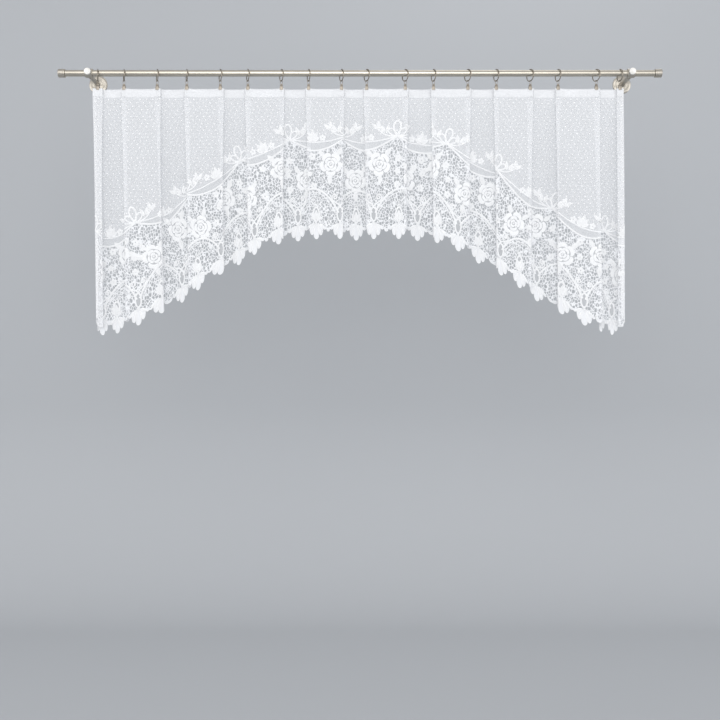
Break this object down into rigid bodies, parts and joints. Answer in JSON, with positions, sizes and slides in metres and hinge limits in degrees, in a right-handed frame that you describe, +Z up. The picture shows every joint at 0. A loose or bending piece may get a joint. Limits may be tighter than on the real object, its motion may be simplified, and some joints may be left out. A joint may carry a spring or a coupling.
{
  "type": "net curtain on rod",
  "caption": "White lace net valance with an arched scalloped hem, in box pleats clipped to rings on a satin metal rod with wall brackets.",
  "frame": {"origin": "on the wall, midway between the two wall plates, at the height of the rod's axis", "axes": "+X along the rod, to the right as seen from the room; +Y into the wall; +Z up"},
  "size_m": [1.796, 0.124, 0.8008],
  "materials": {
    "satin_nickel": "satin nickel plate, warm grey with a soft sheen",
    "clip_nickel": "nickel-plated spring clip, satin",
    "screw_nickel": "pale nickel, brushed",
    "white_lace": "cool white knitted lace net, matt, see-through between its threads",
    "white_tape": "white woven heading tape, matt"
  },
  "bodies": {
    "root": {"rod": "satin_nickel", "end_cap_left": "satin_nickel", "end_cap_right": "satin_nickel", "bracket_left": "satin_nickel", "bracket_right": "satin_nickel", "set_screw_left": "screw_nickel", "set_screw_right": "screw_nickel", "ring_01": "satin_nickel", "ring_02": "satin_nickel", "ring_03": "satin_nickel", "ring_04": "satin_nickel", "ring_05": "satin_nickel", "ring_06": "satin_nickel", "ring_07": "satin_nickel", "ring_08": "satin_nickel", "ring_09": "satin_nickel", "ring_10": "satin_nickel", "ring_11": "satin_nickel", "ring_12": "satin_nickel", "ring_13": "satin_nickel", "ring_14": "satin_nickel", "ring_15": "satin_nickel", "ring_16": "satin_nickel", "ring_17": "satin_nickel", "ring_18": "satin_nickel", "clip_01": "clip_nickel", "clip_02": "clip_nickel", "clip_03": "clip_nickel", "clip_04": "clip_nickel", "clip_05": "clip_nickel", "clip_06": "clip_nickel", "clip_07": "clip_nickel", "clip_08": "clip_nickel", "clip_09": "clip_nickel", "clip_10": "clip_nickel", "clip_11": "clip_nickel", "clip_12": "clip_nickel", "clip_13": "clip_nickel", "clip_14": "clip_nickel", "clip_15": "clip_nickel", "clip_16": "clip_nickel", "clip_17": "clip_nickel", "clip_18": "clip_nickel", "net_curtain": "white_lace", "heading_tape": "white_tape"}
  },
  "joints": []
}
